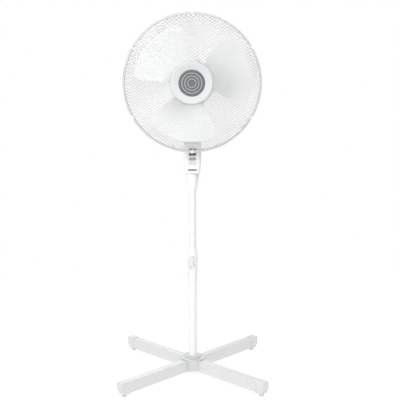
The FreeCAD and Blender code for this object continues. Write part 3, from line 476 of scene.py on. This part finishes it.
def bar_outline(width, height):
    """A bar with round ends, about its own centre."""
    corner = height / 2
    outline = []
    for x, z, start in ((1, 1, 0), (-1, 1, 90), (-1, -1, 180), (1, -1, 270)):
        for i in range(CORNER_STEPS + 1):
            angle = math.radians(start + 90 * i / CORNER_STEPS)
            outline.append((x * (width / 2 - corner) + corner * math.cos(angle),
                            z * (height / 2 - corner) + corner * math.sin(angle)))
    return outline


def front_bar(name, x, z, width, height, back, front, body, slot):
    """A thin bar, softened round its front, that stands on a face looking towards -Y."""
    outline = bar_outline(width, height)
    inner = bar_outline(width - 2 * MARK_EDGE_INSET, height - 2 * MARK_EDGE_INSET)
    count = len(outline)
    points = [(x + a, back, z + b) for a, b in outline]
    points += [(x + a, front + MARK_EDGE_DROP, z + b) for a, b in outline]
    points += [(x + a, front, z + b) for a, b in inner]
    faces = [tuple(range(count)), tuple(2 * count + k for k in reversed(range(count)))]
    for layer in (0, count):
        for k in range(count):
            after = (k + 1) % count
            faces.append((layer + k, layer + count + k, layer + count + after, layer + after))
    mesh_piece(name, points, faces, body, slot)


def housing_mark():
    """A plain dark bar under the buttons, where such a fan has its name."""
    low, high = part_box("control_front")
    front_bar("housing_mark", (low.x + high.x) / 2, low.z + MARK_RISE, MARK_WIDTH, MARK_HEIGHT,
              low.y + MARK_SUNK, low.y - MARK_PROUD, "column", "key_dark")


# ---------------------------------------------------------------- stage, light and camera


def floor():
    """A plain floor round the base, bright enough to run into the white background."""
    material = bpy.data.materials.new("stage_floor")
    material.use_nodes = True
    shader = material.node_tree.nodes["Principled BSDF"]
    shader.inputs["Base Color"].default_value = (0.12, 0.12, 0.12, 1)
    shader.inputs["Roughness"].default_value = 0.9
    shader.inputs["Emission Color"].default_value = (1, 1, 1, 1)
    shader.inputs["Emission Strength"].default_value = 0.9
    mesh = bpy.data.meshes.new("stage_floor")
    corner_signs = ((-1, -1), (1, -1), (1, 1), (-1, 1))
    mesh.from_pydata([(x * FLOOR_HALF, y * FLOOR_HALF, 0) for x, y in corner_signs], [], [(0, 1, 2, 3)])
    mesh.materials.append(material)
    piece = bpy.data.objects.new("stage_floor", mesh)
    bpy.context.scene.collection.objects.link(piece)


def studio_world():
    """White for the camera; for the object, a soft studio that is brightest behind it and dim from below."""
    world = bpy.data.worlds.new("studio")
    bpy.context.scene.world = world
    world.use_nodes = True
    tree = world.node_tree
    tree.nodes.clear()
    output = tree.nodes.new("ShaderNodeOutputWorld")
    mix = tree.nodes.new("ShaderNodeMixShader")
    rays = tree.nodes.new("ShaderNodeLightPath")
    seen = tree.nodes.new("ShaderNodeBackground")
    seen.inputs["Color"].default_value = (1, 1, 1, 1)
    studio = tree.nodes.new("ShaderNodeBackground")
    direction = tree.nodes.new("ShaderNodeTexCoord")
    apart = tree.nodes.new("ShaderNodeSeparateXYZ")
    strength = tree.nodes.new("ShaderNodeMath")
    strength.operation = "MULTIPLY"
    tree.links.new(direction.outputs["Generated"], apart.inputs["Vector"])
    from_front = mapped_range(tree, apart.outputs["Y"], -0.6, 0.6, 0.5, 1.0)
    from_below = mapped_range(tree, apart.outputs["Z"], -0.3, 0.1, 0.5, 1.0)
    tree.links.new(from_front, strength.inputs[0])
    tree.links.new(from_below, strength.inputs[1])
    tree.links.new(strength.outputs["Value"], studio.inputs["Strength"])
    tree.links.new(rays.outputs["Is Camera Ray"], mix.inputs["Fac"])
    tree.links.new(studio.outputs["Background"], mix.inputs[1])
    tree.links.new(seen.outputs["Background"], mix.inputs[2])
    tree.links.new(mix.outputs["Shader"], output.inputs["Surface"])


def soft_box(name, place, target, size, power, spread=180):
    """A square area light that looks at a point; its spread is in degrees."""
    light = bpy.data.lights.new(name, "AREA")
    light.size = size
    light.energy = power
    light.spread = math.radians(spread)
    lamp = bpy.data.objects.new(name, light)
    lamp.location = place
    lamp.rotation_euler = (Vector(target) - Vector(place)).to_track_quat("-Z", "Y").to_euler()
    bpy.context.scene.collection.objects.link(lamp)


def camera():
    """Stands 2.7 m in front at head height, and looks a little down."""
    data = bpy.data.cameras.new("camera")
    data.sensor_width = 36
    data.lens = 72.9
    data.clip_start, data.clip_end = 0.05, 60
    eye = bpy.data.objects.new("camera", data)
    eye.location = (0.033, -2.698, 1.040)
    eye.rotation_euler = (math.radians(90 - 9.15), 0, math.radians(0.17))
    bpy.context.scene.collection.objects.link(eye)
    bpy.context.scene.camera = eye


def stage():
    """Plain surroundings: a key light from the front right, a fill from the left and one from behind."""
    bpy.context.scene.view_settings.view_transform = "Standard"
    floor()
    studio_world()
    soft_box("key", (0.9, -2.5, 2.6), (0, 0, 0.9), 2.5, 85)
    soft_box("fill", (-2.0, -1.7, 1.1), (0, 0, 0.95), 1.6, 7.4, spread=60)
    soft_box("back", (-0.8, 2.8, 1.9), (0, 0, 0.95), 2.0, 26)
    camera()


finish_cad_nodes()
guards()
badge_rings()
housing_mark()
stage()
